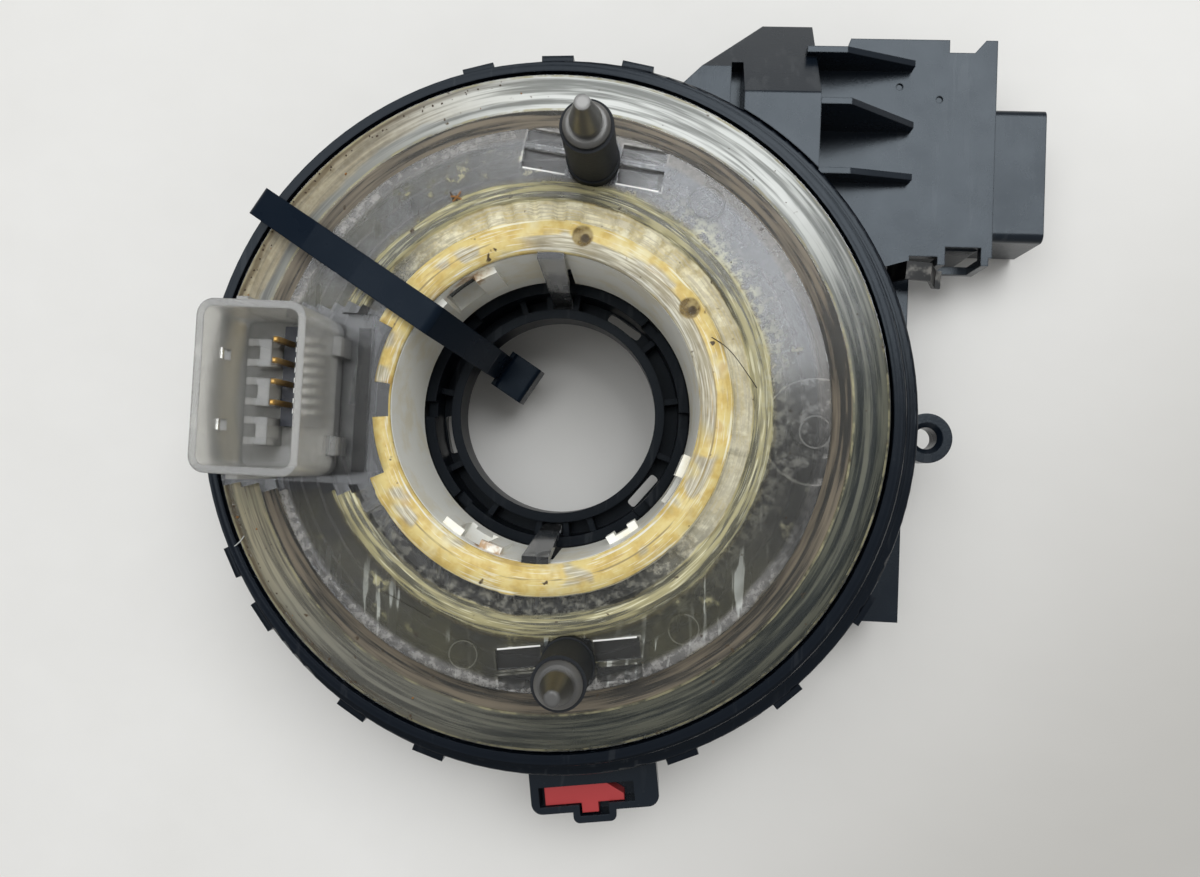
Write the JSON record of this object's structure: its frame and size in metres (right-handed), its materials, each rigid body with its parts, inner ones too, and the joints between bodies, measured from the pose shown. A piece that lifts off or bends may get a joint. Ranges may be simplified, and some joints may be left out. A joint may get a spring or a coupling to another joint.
{
  "type": "steering clock spring",
  "caption": "Steering clock spring with a clear rotor, connector tower, guide pins, sensor tray, lock slide and a transport tie through its bore.",
  "frame": {"origin": "on the rotation axis, at the lower end of the driver ring's bore", "axes": "+Z along the rotation axis towards the steering wheel; +X towards the system connector; +Y towards the sloped block"},
  "size_m": [0.1205, 0.1189, 0.0565],
  "materials": {
    "case_plastic": "fine matt moulding",
    "shell_plastic": "fine matt moulding",
    "ring_plastic": "satin moulding",
    "clear_plastic": "clear, scuffed",
    "tower_plastic": "clear",
    "white_plastic": "smooth",
    "driver_plastic": "satin moulding",
    "block_plastic": "plain",
    "sleeve_rubber": "matt",
    "pin_steel": "turned",
    "clip_steel": "dull spring sheet",
    "screw_steel": "plated",
    "terminal_metal": "plated",
    "tie_nylon": "smooth nylon",
    "lock_plastic": "smooth",
    "tape_film": "laminated film",
    "board_laminate": "solder resist",
    "chip_plastic": "plain",
    "disc_plastic": "plain"
  },
  "bodies": {
    "fixed_side": {"case_body": "case_plastic", "retaining_ring": "ring_plastic", "lower_shell": "shell_plastic", "sensor_board": "board_laminate", "board_chips": "chip_plastic", "light_barrier": "chip_plastic", "system_terminals": "terminal_metal", "outer_contact_block": "block_plastic", "ribbon_cable": "tape_film", "ground_clip": "clip_steel", "cover_screws": "screw_steel", "cable_tie": "tie_nylon"},
    "rotor": {"rotor_cover": "clear_plastic", "wheel_connector": "tower_plastic", "terminal_carrier": "white_plastic", "wheel_terminals": "terminal_metal", "inner_contact_block": "block_plastic", "guide_pin_upper": "pin_steel", "guide_pin_lower": "pin_steel", "pin_sleeve_upper": "sleeve_rubber", "pin_sleeve_lower": "sleeve_rubber", "rotor_hub": "white_plastic", "driver_ring": "driver_plastic", "code_disc": "disc_plastic"},
    "lock": {"lock_slide": "lock_plastic"}
  },
  "joints": [
    {"name": "rotor_turn", "type": "hinge", "parent": "fixed_side", "child": "rotor", "pos_m": [0, 0, 0], "axis": [0, 0, 1], "range_deg": [-1.5, 48]},
    {"name": "lock_slide_travel", "type": "slide", "parent": "fixed_side", "child": "lock", "axis": [0.9903, 0.1392, 0], "range_m": [0, 0.0012]}
  ]
}
